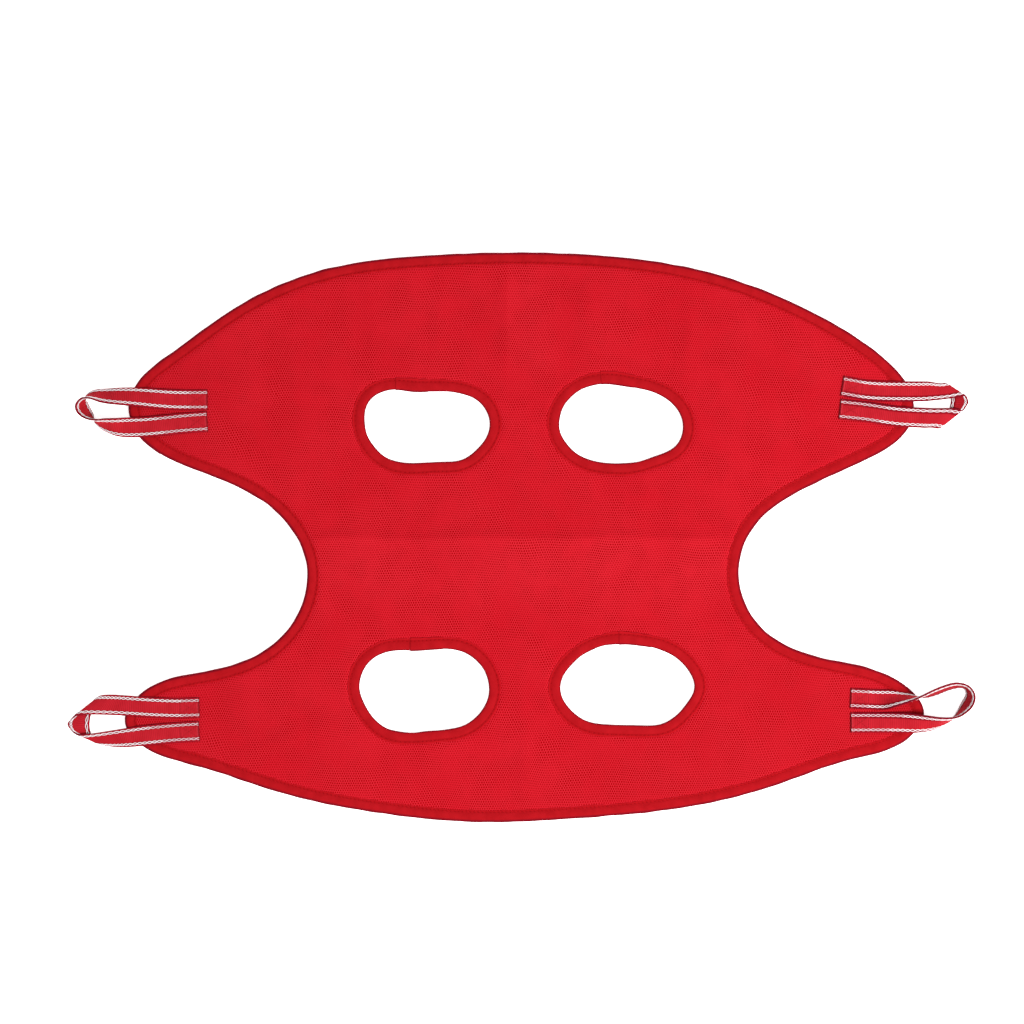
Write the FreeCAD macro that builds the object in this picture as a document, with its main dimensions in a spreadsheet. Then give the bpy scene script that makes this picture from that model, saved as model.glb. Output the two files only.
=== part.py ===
"""Pet grooming hammock, lying flat and open.

A red air-mesh panel with four leg openings and two side notches. Folded tape binds every edge,
and a webbing loop is sewn to each of the four corners. +X is the hammock's right, +Y its front
(where the front legs go) and +Z is up. The origin is the middle of the underside.
"""
import FreeCAD, Part
import math
import os

from FreeCAD import Placement, Rotation, Vector

UP = Vector(0, 0, 1)
PARTS_FOLDER = "parts"

# Driving dimensions, in millimetres and degrees.
SIZES = {
    "mesh_thick": 2.6,        # spacer mesh lying free
    "pinched_thick": 1.9,     # the same mesh squeezed inside the binding
    "tape_thick": 0.5,
    "tape_wide": 9.5,         # a 20 mm tape folded over the edge
    "seam_gap": 0.1,          # between the mesh's cut edge and the fold of the tape
    "stitch_inset": 7.6,      # from the bound edge to the seam
    "thread_wide": 0.6,
    "thread_high": 0.25,
    "fold_left": -150.0,      # where the left side folds up
    "fold_right": 155.0,
    "fold_gap": 0.3,
    "notch_middle": -30.0,    # where the outer edge is parted into front and rear pieces
    "zone_size": 400.0,
    "zone_high": 20.0,
    "webbing_wide": 16.0,
    "webbing_thick": 1.4,
    "box_long": 15.2,         # sewn length of each strap end
    "box_rail": 9.4,          # stitched box, across the strap
    "yarn_wide": 1.2,
    "yarn_high": 0.15,
    "yarn_inset": 1.95,       # from the strap's edge to the middle of the yarn
    "strap_gap": 0.3,         # clearance under and before the moving part of a strap
    "yarn_lift": 0.03,
    "rise_end": 25.0,         # from the hinge line: where the strap has climbed over the binding
    "drop_start": 54.0,       # where it starts down to the ground, and where it has reached it
    "drop_end": 70.0,
}

# Edges of the bound leg openings, anticlockwise from the right end.
LEG_OPENINGS = {
    "front_left": [
        (-24, 87.5), (-30, 104), (-46, 112.5), (-64.5, 114.5), (-83, 114.5), (-102, 115.5), (-118, 108),
        (-122.5, 90), (-116.5, 73), (-102, 61), (-84, 58), (-65.5, 59), (-47, 60.5), (-32, 71),
    ],
    "front_right": [
        (128.5, 88.5), (120.5, 104.5), (104.5, 114), (87, 118), (68.5, 120.5), (51, 117), (36.5, 105.5),
        (31, 89), (38, 72), (53, 61.5), (71, 58), (89, 58.5), (106.5, 63.5), (123, 72),
    ],
    "rear_left": [
        (-24.5, -121), (-30.5, -102.5), (-45.5, -91), (-65, -89), (-84.5, -90), (-104, -91), (-120.5, -101),
        (-126.5, -119), (-119.5, -137.5), (-105.5, -151), (-86.5, -154.5), (-67, -153), (-47.5, -150),
        (-31.5, -139),
    ],
    "rear_right": [
        (137.5, -118), (129, -101), (112.5, -90), (94, -86), (74.5, -85), (56, -90), (40.5, -101.5),
        (32, -118.5), (39.5, -136), (56, -146.5), (75.5, -148.5), (95, -149), (114, -147), (129, -135),
    ],
}

# Hanging loops: side they point to, hinge line, middle of the two arms, distance from the middle
# to an arm's centre line, and slant of the strap.
LOOPS = {
    "front_left": {"side": -1, "x": -263.0, "y": 99.1, "arm": 9.2, "slant": 0.0},
    "front_right": {"side": 1, "x": 270.5, "y": 109.0, "arm": 9.2, "slant": -3.0},
    "rear_left": {"side": -1, "x": -268.8, "y": -144.4, "arm": 9.3, "slant": 0.0},
    "rear_right": {"side": 1, "x": 276.0, "y": -137.2, "arm": 9.7, "slant": 0.0},
}

# Route of each strap from its front sewn end round the tip to its rear one: distance outwards from
# the hinge line, distance to the front of the arms' middle, and how far the inner edge has rolled up.
ROUTES = {
    "front_left": [
        (28, 10.5, 12), (45, 11, 24), (66, 12, 47), (75, 12, 66), (80.5, 9.5, 94), (82.5, 5, 118),
        (80.5, 0, 120), (76.5, -4.5, 106), (70.5, -8.5, 76), (59, -12, 40), (46, -13, 8), (29, -12.5, 0),
    ],
    "front_right": [
        (26, 7.5, 0), (42, 8, 5), (58, 9, 30), (68, 9, 56), (75, 7.5, 84), (78, 4, 106), (78.5, 0, 112),
        (77.5, -4, 103), (74.5, -8, 80), (69, -11, 50), (61, -12.5, 12), (50, -13, 0), (30, -13, 0),
    ],
    "rear_left": [
        (18, 9.5, 0), (36, 10.8, 0), (54, 11.5, 4), (66, 9.5, 36), (74, 6, 68), (79, 2, 98), (80, -3, 116),
        (79.5, -7.5, 114), (77.5, -11, 98), (73, -14, 74), (65, -15.4, 50), (53, -15.5, 32),
        (40, -14.5, 14), (24, -12.6, 0),
    ],
    "rear_right": [
        (11, 8.7, 10), (20, 9.3, 44), (30, 10.2, 70), (43, 12, 104), (59, 17.5, 112), (68, 19.6, 108),
        (75.5, 18.5, 102), (79, 12.5, 110), (77, 6, 117), (72.5, 0, 108), (66.5, -5.5, 88),
        (55, -9, 58), (40, -10, 26), (26, -9.7, 5),
    ],
}

# Outer edge of the bound panel, anticlockwise from the right end of the front edge.
PANEL_OUTLINE = [
    (303, 124), (276, 150), (221, 182), (150, 208.5), (80, 220.5), (0, 224.3),
    (-80, 221.5), (-150, 212), (-221, 183), (-276, 144.5), (-303, 120), (-309, 101),
    (-303, 83), (-285, 66), (-252, 51), (-191, 18), (-169, -20), (-174, -58), (-202, -90),
    (-252, -107), (-297, -122), (-312, -146), (-297, -166), (-258, -180.5), (-190, -202),
    (-110, -218.5), (-32, -225.5), (45, -222.5), (126, -214.5), (200, -197), (264, -175.5),
    (303, -162), (319, -139), (302, -116), (232, -94), (191, -72), (173, -34), (185, 8),
    (214, 32), (280, 64), (304, 82), (311, 104),
]

OFFSET_SAMPLES = 120
LOOP_SECTIONS = 41

document = FreeCAD.newDocument("grooming_hammock")
sheet = document.addObject("Spreadsheet::Sheet", "sizes")
subparts = []


def fill_sheet():
    """One row for each driving dimension: name, value, alias."""
    rows = dict(SIZES)
    for place, loop in LOOPS.items():
        rows.update({f"{place}_loop_{key}": value for key, value in loop.items()})
    for row, (alias, value) in enumerate(rows.items(), start=1):
        sheet.set(f"A{row}", alias)
        sheet.set(f"B{row}", str(value))
        sheet.setAlias(f"B{row}", alias)
    document.recompute()


def size(alias):
    """A value read back from the sheet."""
    return float(sheet.get(alias))


def bind(item, **expressions):
    """Bind properties to the sheet; a double underscore stands for the dot in a property path."""
    for path, expression in expressions.items():
        words = [f"<<sizes>>.{word}" if sheet.getCellFromAlias(word) else word
                 for word in expression.split()]
        item.setExpression(path.replace("__", "."), " ".join(words))


def finish(item, name):
    """Give a sub-part the name that its file carries."""
    item.Label = name
    subparts.append(item)


# --- flat outlines -----------------------------------------------------------------------------

def closed_curve(points):
    curve = Part.BSplineCurve()
    curve.interpolate(Points=[Vector(x, y, 0) for x, y in points], PeriodicFlag=True)
    return curve


def inset_curve(curve, inset):
    """A closed anticlockwise curve moved to its own left; a negative inset grows it."""
    span = curve.LastParameter - curve.FirstParameter
    points = []
    for step in range(OFFSET_SAMPLES):
        parameter = curve.FirstParameter + span * step / OFFSET_SAMPLES
        place = curve.value(parameter)
        along = curve.tangent(parameter)[0]
        points.append((place.x - along.y * inset, place.y + along.x * inset))
    return closed_curve(points)


def flat_face(name, outer, holes, level):
    """A flat region between closed curves, lifted to a level given by the sheet."""
    face = Part.Face([Part.Wire(curve.toShape()) for curve in [outer] + holes])
    face.validate()
    item = document.addObject("Part::Feature", name)
    item.Shape = face
    bind(item, Placement__Base__z=level)
    return item


def raised(name, outer, holes, level, height):
    """A flat region given a height."""
    item = document.addObject("Part::Extrusion", name)
    item.Base = flat_face(f"{name}_outline", outer, holes, level)
    item.DirMode = "Custom"
    item.Dir = UP
    item.Solid = True
    bind(item, LengthFwd=height)
    return item


def joined(kind, name, base, tool):
    item = document.addObject(kind, name)
    item.Base = base
    item.Tool = tool
    return item


# --- the zones that fold -----------------------------------------------------------------------

def zone_box(name, x_from, x_to, y_from="- zone_size", y_to="zone_size"):
    """A box between lines given by the sheet, as deep as the whole hammock if only two are given."""
    box = document.addObject("Part::Box", name)
    bind(box, Length=f"( {x_to} ) - ( {x_from} )", Width=f"( {y_to} ) - ( {y_from} )", Height="zone_high",
         Placement__Base__x=x_from, Placement__Base__y=y_from, Placement__Base__z="- zone_high / 2")
    return box


LEFT_OF_FOLD = ("- zone_size", "fold_left - fold_gap / 2")
BETWEEN_FOLDS = ("fold_left + fold_gap / 2", "fold_right - fold_gap / 2")
RIGHT_OF_FOLD = ("fold_right + fold_gap / 2", "zone_size")


def split_between_zones(whole, zones):
    """Cut a piece that runs across the folds into one sub-part for each zone."""
    for name, limits in zones.items():
        finish(joined("Part::Common", f"{name}_cut", whole, zone_box(f"{name}_zone", *limits)), name)


# --- panel, bindings and their seams -----------------------------------------------------------

def build_panel(edge, openings):
    """Spacer mesh, full thickness in the field and squeezed thinner where the tape grips it."""
    grip = size("tape_wide") + size("seam_gap")
    reach = size("tape_thick") + size("seam_gap")
    field = raised("mesh_field", inset_curve(edge, grip),
                   [inset_curve(hole, -grip) for hole in openings.values()], "0", "mesh_thick")
    rim = raised("mesh_rim", inset_curve(edge, reach),
                 [inset_curve(hole, -reach) for hole in openings.values()], "tape_thick", "pinched_thick")
    split_between_zones(joined("Part::Fuse", "mesh", field, rim), {
        "panel_centre": BETWEEN_FOLDS,
        "panel_left_wing": LEFT_OF_FOLD,
        "panel_right_wing": RIGHT_OF_FOLD,
    })


def binding(name, edge, sign):
    """Tape folded round an edge: a ring with a slot for the mesh. Sign +1 runs inside the edge."""
    wide = size("tape_wide")
    wall = size("tape_thick")

    def ring(ring_name, near, far, level, height):
        curves = [inset_curve(edge, sign * near) if near else edge, inset_curve(edge, sign * far)]
        outer, inner = curves if sign > 0 else reversed(curves)
        return raised(ring_name, outer, [inner], level, height)

    outside = ring(f"{name}_outside", 0, wide, "0", "pinched_thick + 2 * tape_thick")
    slot = ring(f"{name}_slot", wall, 2 * wide, "tape_thick", "pinched_thick")
    return joined("Part::Cut", f"{name}_folded", outside, slot)


def seam(name, edge, sign):
    """A line of thread standing a little proud of the binding."""
    near = size("stitch_inset") - size("thread_wide") / 2
    far = size("stitch_inset") + size("thread_wide") / 2
    curves = [inset_curve(edge, sign * near), inset_curve(edge, sign * far)]
    outer, inner = curves if sign > 0 else reversed(curves)
    return raised(name, outer, [inner], "pinched_thick + 2 * tape_thick", "thread_high")


def build_outer_edge(edge):
    """One tape and one seam all the way round, in a front and a rear piece for each zone."""
    zones = {"": BETWEEN_FOLDS, "left_": LEFT_OF_FOLD, "right_": RIGHT_OF_FOLD}
    halves = {"front": ("notch_middle", "zone_size"), "rear": ("- zone_size", "notch_middle")}
    for piece, whole in (("binding", binding("edge_tape", edge, 1)), ("stitching", seam("edge_thread", edge, 1))):
        split_between_zones(whole, {
            f"edge_{piece}_{zone}{half}": across + deep
            for zone, across in zones.items()
            for half, deep in halves.items()
        })


def build_leg_edges(openings):
    for place, hole in openings.items():
        finish(binding(f"{place}_leg_tape", hole, -1), f"{place}_leg_binding")
        finish(seam(f"{place}_leg_thread", hole, -1), f"{place}_leg_stitching")


# --- loops -------------------------------------------------------------------------------------

def on_strap(place, along, across, level):
    """Where a point of a loop's own flat frame lies on the hammock; along runs outwards."""
    origin = Vector(size(f"{place}_loop_x"), size(f"{place}_loop_y"), level)
    turn = Rotation(UP, size(f"{place}_loop_slant"))
    return origin + turn.multVec(Vector(LOOPS[place]["side"] * along, across, 0))


def box_on_strap(place, name, length, width, height, along, across, level, turn=0):
    """A flat block centred on a point of the sewn strap, with its sizes bound to the sheet."""
    block = document.addObject("Part::Box", name)
    bind(block, Length=length, Width=width, Height=height)
    document.recompute([block])
    corner = Vector(-block.Length.Value / 2, -block.Width.Value / 2, 0)
    rotation = Rotation(UP, size(f"{place}_loop_slant") + turn)
    block.Placement = Placement(on_strap(place, along, across, level) + rotation.multVec(corner), rotation)
    return block


def group(name, pieces):
    item = document.addObject("Part::Compound", f"{name}_group")
    item.Links = pieces
    finish(item, name)


def box_and_cross(place, name, across, level):
    """Four sides and two diagonals of thread, sewn as one."""
    middle = -size("box_long") / 2
    half_long = size("box_long") / 2 - size("thread_wide") * 1.5
    half_rail = size("box_rail") / 2
    diagonal = math.degrees(math.atan2(half_rail, half_long))
    lines = []
    for sign in (-1, 1):
        lines.append(box_on_strap(place, f"{name}_side{sign + 1}", "box_long - 2 * thread_wide", "thread_wide",
                                  "thread_high", middle, across + sign * half_rail, level))
        lines.append(box_on_strap(place, f"{name}_end{sign + 1}", "thread_wide", "box_rail",
                                  "thread_high", middle + sign * half_long, across, level))
        lines.append(box_on_strap(place, f"{name}_cross{sign + 1}",
                                  "sqrt( box_rail ^ 2 + ( box_long - 3 * thread_wide ) ^ 2 )", "thread_wide",
                                  "thread_high", middle, across, level, sign * diagonal))
    whole = document.addObject("Part::MultiFuse", name)
    whole.Shapes = lines
    return whole


def build_sewn_ends(place):
    """Both ends of one strap, lying side by side on the mesh, with their yarns and seams."""
    middle = -size("box_long") / 2
    top_of_mesh = size("mesh_thick")
    top_of_strap = top_of_mesh + size("webbing_thick")
    yarn_place = size("webbing_wide") / 2 - size("yarn_inset")
    straps = []
    yarns = []
    boxes = []
    for sign in (-1, 1):
        across = sign * size(f"{place}_loop_arm")
        straps.append(box_on_strap(place, f"{place}_end{sign + 1}", "box_long", "webbing_wide", "webbing_thick",
                                   middle, across, top_of_mesh))
        boxes.append(box_and_cross(place, f"{place}_box{sign + 1}", across, top_of_strap))
        for edge in (-1, 1):
            yarns.append(box_on_strap(place, f"{place}_yarn{sign + 1}{edge + 1}", "box_long", "yarn_wide",
                                      "yarn_high", middle, across + edge * yarn_place, top_of_strap))
    group(f"{place}_strap_ends", straps)
    group(f"{place}_box_stitching", boxes)
    group(f"{place}_strap_end_yarn", yarns)


def smooth_step(value):
    value = min(max(value, 0.0), 1.0)
    return value * value * (3 - 2 * value)


def loop_sections(place):
    """Frames along the strap: centre, direction across towards the inner edge, and out of its face."""
    arm = size(f"{place}_loop_arm")
    half_wide = size("webbing_wide") / 2
    half_thick = size("webbing_thick") / 2
    clearance = size("strap_gap") + size("yarn_high")
    above_mesh = size("mesh_thick") + clearance
    above_tape = size("pinched_thick") + 2 * size("tape_thick") + size("thread_high") + clearance

    def lowest_at(along):
        """Height of the strap's lower side: up over the binding, then down to the ground."""
        over_tape = above_mesh + (above_tape - above_mesh) * smooth_step(along / size("rise_end"))
        dropped = (along - size("drop_start")) / (size("drop_end") - size("drop_start"))
        return over_tape + (clearance - over_tape) * smooth_step(dropped)

    start = size("strap_gap") / 2
    stations = [(start, arm, 0)] + ROUTES[place] + [(start, -arm, 0)]
    distances = [0.0]
    for before, after in zip(stations, stations[1:]):
        distances.append(distances[-1] + math.hypot(after[0] - before[0], after[1] - before[1]))
    path = Part.BSplineCurve()
    path.interpolate(Points=[Vector(along, across, 0) for along, across, _ in stations], Parameters=distances)
    turn = Part.BSplineCurve()
    rolls_at = [Vector(station[2], distance, 0) for station, distance in zip(stations, distances)]
    turn.interpolate(Points=rolls_at, Parameters=distances)

    outwards = on_strap(place, 1, 0, 0) - on_strap(place, 0, 0, 0)
    centres = []
    rolls = []
    for step in range(LOOP_SECTIONS):
        distance = distances[-1] * step / (LOOP_SECTIONS - 1)
        point = path.value(distance)
        roll = math.radians(turn.value(distance).x)
        level = lowest_at(point.x) + half_wide * abs(math.sin(roll)) + half_thick * abs(math.cos(roll))
        centres.append(on_strap(place, point.x, point.y, level))
        rolls.append(roll)

    frames = []
    for step, (centre, roll) in enumerate(zip(centres, rolls)):
        if step == 0:
            run = outwards
        elif step == LOOP_SECTIONS - 1:
            run = -outwards
        else:
            run = (centres[step + 1] - centres[step - 1]).normalize()
        inward = (run.cross(UP) * LOOPS[place]["side"]).normalize()
        lift = inward.cross(run) * LOOPS[place]["side"]
        face = lift * math.cos(roll) - inward * math.sin(roll)
        edge = inward * math.cos(roll) + lift * math.sin(roll)
        frames.append((centre, edge, face))
    return frames


def ribbon(frames, edge_from, edge_to, face_from, face_to):
    """A solid strip through the frames, between two distances across and two through the strap."""
    sections = []
    for centre, edge, face in frames:
        corners = [centre + edge * across + face * through for across, through in (
            (edge_from, face_from), (edge_to, face_from), (edge_to, face_to), (edge_from, face_to))]
        sections.append(Part.makePolygon(corners + corners[:1]))
    solid, ruled = True, True
    return Part.makeLoft(sections, solid, ruled)


def build_loop(place):
    frames = loop_sections(place)
    half_wide = size("webbing_wide") / 2
    half_thick = size("webbing_thick") / 2
    strap = document.addObject("Part::Feature", f"{place}_strap")
    strap.Shape = ribbon(frames, -half_wide, half_wide, -half_thick, half_thick)
    finish(strap, f"{place}_loop")

    near = half_thick + size("yarn_lift")
    far = near + size("yarn_high")
    middle = half_wide - size("yarn_inset")
    half_yarn = size("yarn_wide") / 2
    strands = []
    for edge in (-middle, middle):
        for face_from, face_to in ((near, far), (-far, -near)):
            strands.append(ribbon(frames, edge - half_yarn, edge + half_yarn, face_from, face_to))
    yarn = document.addObject("Part::Feature", f"{place}_strands")
    yarn.Shape = Part.makeCompound(strands)
    finish(yarn, f"{place}_loop_yarn")


# --- check and write ---------------------------------------------------------------------------

def check():
    for item in document.Objects:
        if "Invalid" in item.State or "Error" in item.State:
            raise RuntimeError(f"{item.Name} ({item.Label}) failed: {item.State}")
    for item in subparts:
        if item.Shape.isNull() or not item.Shape.isValid() or not item.Shape.Solids:
            raise RuntimeError(f"{item.Label} has no valid solid")


def write():
    os.makedirs(PARTS_FOLDER, exist_ok=True)
    whole = FreeCAD.BoundBox()
    for item in subparts:
        item.Shape.exportStep(os.path.join(PARTS_FOLDER, f"{item.Label}.step"))
        box = item.Shape.BoundBox
        whole.add(box)
        print(f"{item.Label:28s} {len(item.Shape.Solids)} solids {item.Shape.Volume:10.1f} mm3  "
              f"x {box.XMin:7.1f} {box.XMax:7.1f}  y {box.YMin:7.1f} {box.YMax:7.1f}  "
              f"z {box.ZMin:5.2f} {box.ZMax:5.2f}")
    print(f"whole: x {whole.XMin:.2f} {whole.XMax:.2f} y {whole.YMin:.2f} {whole.YMax:.2f} "
          f"z {whole.ZMin:.2f} {whole.ZMax:.2f}; {len(subparts)} sub-parts")


fill_sheet()
panel_edge = closed_curve(PANEL_OUTLINE)
leg_holes = {place: closed_curve(points) for place, points in LEG_OPENINGS.items()}
build_panel(panel_edge, leg_holes)
build_outer_edge(panel_edge)
build_leg_edges(leg_holes)
for corner in LOOPS:
    build_sewn_ends(corner)
    build_loop(corner)
document.recompute()
check()
write()
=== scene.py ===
"""Looks of the pet grooming hammock: cloth, tapes, seams and hanging loops over the CAD frame.

Lengths are in millimetres and angles in degrees unless a comment says otherwise. X runs across the
hammock, +Y is the animal's front and Z is up. Meshes are made in metres.
"""
import math

import bpy
import numpy as np
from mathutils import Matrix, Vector, kdtree
from mathutils.geometry import delaunay_2d_cdt


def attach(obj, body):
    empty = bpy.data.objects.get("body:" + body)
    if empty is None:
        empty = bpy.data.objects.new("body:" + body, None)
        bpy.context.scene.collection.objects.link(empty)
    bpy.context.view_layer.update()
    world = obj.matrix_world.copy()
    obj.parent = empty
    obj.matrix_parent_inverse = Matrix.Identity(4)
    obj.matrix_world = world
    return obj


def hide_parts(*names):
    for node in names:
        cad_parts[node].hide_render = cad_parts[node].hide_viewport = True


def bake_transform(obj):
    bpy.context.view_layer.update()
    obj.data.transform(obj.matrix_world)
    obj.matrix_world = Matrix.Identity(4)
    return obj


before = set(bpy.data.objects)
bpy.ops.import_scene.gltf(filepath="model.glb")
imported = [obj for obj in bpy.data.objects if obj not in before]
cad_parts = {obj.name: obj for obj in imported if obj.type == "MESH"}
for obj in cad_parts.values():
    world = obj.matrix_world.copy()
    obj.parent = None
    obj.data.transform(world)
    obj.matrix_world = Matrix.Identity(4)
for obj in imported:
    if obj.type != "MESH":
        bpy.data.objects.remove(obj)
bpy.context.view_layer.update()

MM = 0.001


# --- sizes shared with the CAD part ---

MESH_THICK = 2.6
PINCHED_THICK = 1.9
TAPE_THICK = 0.5
TAPE_TOP = PINCHED_THICK + 2 * TAPE_THICK
SEAM_INSET = 7.6
WEBBING_WIDE = 16.0
WEBBING_THICK = 1.4
SEWN_LONG = 15.2
BOX_WIDE = 9.4

# Edges of the bound leg openings, anticlockwise from the right end.
LEG_OPENINGS = {
    "front_left": [
        (-24, 87.5), (-30, 104), (-46, 112.5), (-64.5, 114.5), (-83, 114.5), (-102, 115.5),
        (-118, 108), (-122.5, 90), (-116.5, 73), (-102, 61), (-84, 58), (-65.5, 59), (-47, 60.5),
        (-32, 71),
    ],
    "front_right": [
        (128.5, 88.5), (120.5, 104.5), (104.5, 114), (87, 118), (68.5, 120.5), (51, 117),
        (36.5, 105.5), (31, 89), (38, 72), (53, 61.5), (71, 58), (89, 58.5), (106.5, 63.5),
        (123, 72),
    ],
    "rear_left": [
        (-24.5, -121), (-30.5, -102.5), (-45.5, -91), (-65, -89), (-84.5, -90), (-104, -91),
        (-120.5, -101), (-126.5, -119), (-119.5, -137.5), (-105.5, -151), (-86.5, -154.5),
        (-67, -153), (-47.5, -150), (-31.5, -139),
    ],
    "rear_right": [
        (137.5, -118), (129, -101), (112.5, -90), (94, -86), (74.5, -85), (56, -90),
        (40.5, -101.5), (32, -118.5), (39.5, -136), (56, -146.5), (75.5, -148.5), (95, -149),
        (114, -147), (129, -135),
    ],
}

# Outer edge of the bound panel, anticlockwise from the right end of the front edge.
PANEL_OUTLINE = [
    (303, 124), (276, 150), (221, 182), (150, 208.5), (80, 220.5), (0, 224.3),
    (-80, 221.5), (-150, 212), (-221, 183), (-276, 144.5), (-303, 120), (-309, 101),
    (-303, 83), (-285, 66), (-252, 51), (-191, 18), (-169, -20), (-174, -58), (-202, -90),
    (-252, -107), (-297, -122), (-312, -146), (-297, -166), (-258, -180.5), (-190, -202),
    (-110, -218.5), (-32, -225.5), (45, -222.5), (126, -214.5), (200, -197), (264, -175.5),
    (303, -162), (319, -139), (302, -116), (232, -94), (191, -72), (173, -34), (185, 8),
    (214, 32), (280, 64), (304, 82), (311, 104),
]

# Hanging loops: side they point to, hinge line, middle of the two arms, slant, and for the front
# and rear arms: sewn length, where the centre line lies at the cut end and at the hinge.
LOOPS = {
    "front_left": {"side": -1, "x": -263, "y": 99.1, "slant": 0,
                   "front": (16.4, 8.8, 8.75), "rear": (16.4, -8.27, -9.4)},
    "front_right": {"side": 1, "x": 270.5, "y": 109, "slant": -3,
                    "front": (16.8, 8.95, 6.9), "rear": (17.7, -9.27, -10.2)},
    "rear_left": {"side": -1, "x": -268.8, "y": -144.4, "slant": 0,
                  "front": (15.8, 9.5, 9.05), "rear": (15.8, -9.12, -10.05)},
    "rear_right": {"side": 1, "x": 276, "y": -137.2, "slant": 0,
                   "front": (15.2, 9.75, 9), "rear": (15, -9.6, -9.5)},
}

# Free part of the straps that turn on edge at the tip: distance outwards from the hinge line,
# distance to the front of the arms' middle, and how far the inner edge has rolled up.
ROUTES = {
    "front_left": [
        (14, 9.1, 3), (28, 10.1, 12), (45, 11.2, 24), (66, 12, 47), (75, 12, 66), (80.5, 9.5, 94),
        (82.5, 5, 122), (80.5, 0, 126), (76.5, -4.5, 110), (70.5, -8.5, 76), (59, -12, 40),
        (46, -13, 8), (29, -12.3, 0), (14, -10.8, 0),
    ],
    "rear_right": [
        (11, 8.7, 10), (20, 9.3, 44), (30, 10.2, 70), (43, 12, 104), (59, 17.5, 112),
        (68, 19.6, 108), (75.5, 18.5, 102), (79, 12.5, 110), (77, 6, 117), (72.5, 0, 108),
        (66.5, -5.5, 88), (55, -9, 58), (40, -10, 26), (26, -9.7, 5), (13, -9.5, 0),
    ],
}

# Arms of the straps that are folded over slantwise at the tip: where the centre lines run.
FLAT_ARMS = {
    "front_right": ([(12, 6.5), (25, 6.8), (37, 7.4)], [(37, -12.9), (24, -12.5), (12, -11.3)]),
    "rear_left": ([(14, 9.4), (27, 10.1)], [(29, -12.8), (14, -11.2)]),
}

# Their tips: outer edge, then inner edge, each as outwards, to the front, height.
FOLDED_TIPS = {
    "front_right": [
        (45, 15.8, 5.2, 45.5, -0.1, 5.4), (53, 15.9, 4.7, 58.5, 1.6, 6.2),
        (62.3, 15.3, 3.8, 75, 5, 8.2), (65.5, 15.1, 2.5, 80.6, 5.8, 8.1),
        (67.4, 12.4, 1.4, 82, 4.3, 7.7), (69.8, 0.5, 1.3, 83, 1, 8),
        (64.3, -15.3, 1.4, 81.4, -2.2, 7.4), (62.1, -20, 2.6, 79.6, -4.2, 6.8),
        (58.2, -20.5, 3.9, 74, -4, 6.4), (51.2, -20.7, 4.8, 62.3, -4.4, 5.9),
        (46.9, -20.8, 5.2, 46.8, -4.9, 5.4),
    ],
    "rear_left": [
        (38, 18.9, 5.3, 38.2, 2.8, 5.3), (48.5, 19.6, 5.1, 54, 3.6, 5),
        (59, 19.6, 4.8, 76, 3.7, 4.7), (62.8, 18.4, 3.1, 82.5, 2.6, 3.1),
        (65.5, 14.8, 1.4, 85.6, 0.2, 1.5), (71, -3.8, 1.3, 88.4, -4, 1.6),
        (67.4, -16.2, 1.4, 85.6, -8.6, 1.5), (63.6, -18.9, 3.1, 82, -11, 3.1),
        (57.6, -20.7, 4.8, 75.5, -11.6, 4.7), (48.8, -21.7, 5.1, 61, -9.7, 5),
        (40, -21.7, 5.3, 43, -6.8, 5.3),
    ],
}

# --- lie of the cloth ---

BASE_LIFT = 1.2
LEAST_LIFT = 0.25
SWELLS = [  # wave length, direction, phase in radians, height
    (236, 18, 0.4, 0.22), (187, 74, 2.1, 0.20), (151, -35, 4.4, 0.17),
    (118, 112, 1.3, 0.13), (93, 50, 3.3, 0.10), (71, -8, 5.6, 0.07),
]
CREASES = [  # from, to, height, half width
    ((-170, -2), (168, -1), 1.4, 4.5), ((-118, 222), (-116, 128), 0.55, 7),
    ((-63, 224), (-62, 130), 0.65, 6), ((-14, 224), (-11, 122), 0.75, 6),
    ((55, 222), (53, 132), 0.50, 7), ((134, 208), (130, 120), 0.45, 7),
    ((-294, 126), (-134, 112), 0.55, 5), ((-228, -176), (-138, -144), 0.60, 6),
    ((132, 66), (204, 34), 0.60, 5), ((2, -122), (4, -216), 0.60, 6),
    ((-20, 92), (27, 91), 0.55, 5), ((95, 48), (94, -6), 0.40, 6),
]
CREASE_FADE = 22
SWAY = 1.4
SWAY_LONG = 17
SWAY_SHIFT = 40


def smooth_step(value):
    value = np.clip(value, 0.0, 1.0)
    return value * value * (3 - 2 * value)


def lie(points):
    """How high the cloth lies off the ground at each (x, y)."""
    x = points[..., 0]
    y = points[..., 1]
    height = np.full(x.shape, BASE_LIFT)
    for length, heading, phase, swell in SWELLS:
        angle = math.radians(heading)
        along = x * math.cos(angle) + y * math.sin(angle)
        height = height + swell * np.sin(2 * math.pi * along / length + phase)
    for begin, end, depth, half_width in CREASES:
        run = np.subtract(end, begin)
        long = np.hypot(*run)
        along = ((x - begin[0]) * run[0] + (y - begin[1]) * run[1]) / long
        across = ((x - begin[0]) * run[1] - (y - begin[1]) * run[0]) / long
        ends = smooth_step(along / CREASE_FADE) * smooth_step((long - along) / CREASE_FADE)
        sway = SWAY * np.sin(along / SWAY_LONG + depth * SWAY_SHIFT)
        height = height + depth * ends * np.exp(-((across + sway) / half_width) ** 2)
    return np.maximum(height, LEAST_LIFT)


# --- curves ---

WRAP = 8
DENSE = 6000
RIPPLE_WAVES = 14


def unit(vectors):
    return vectors / np.linalg.norm(vectors, axis=-1, keepdims=True)


def to_left(run):
    """Flat directions turned a quarter to the left."""
    return np.stack([-run[:, 1], run[:, 0]], axis=1)


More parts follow.
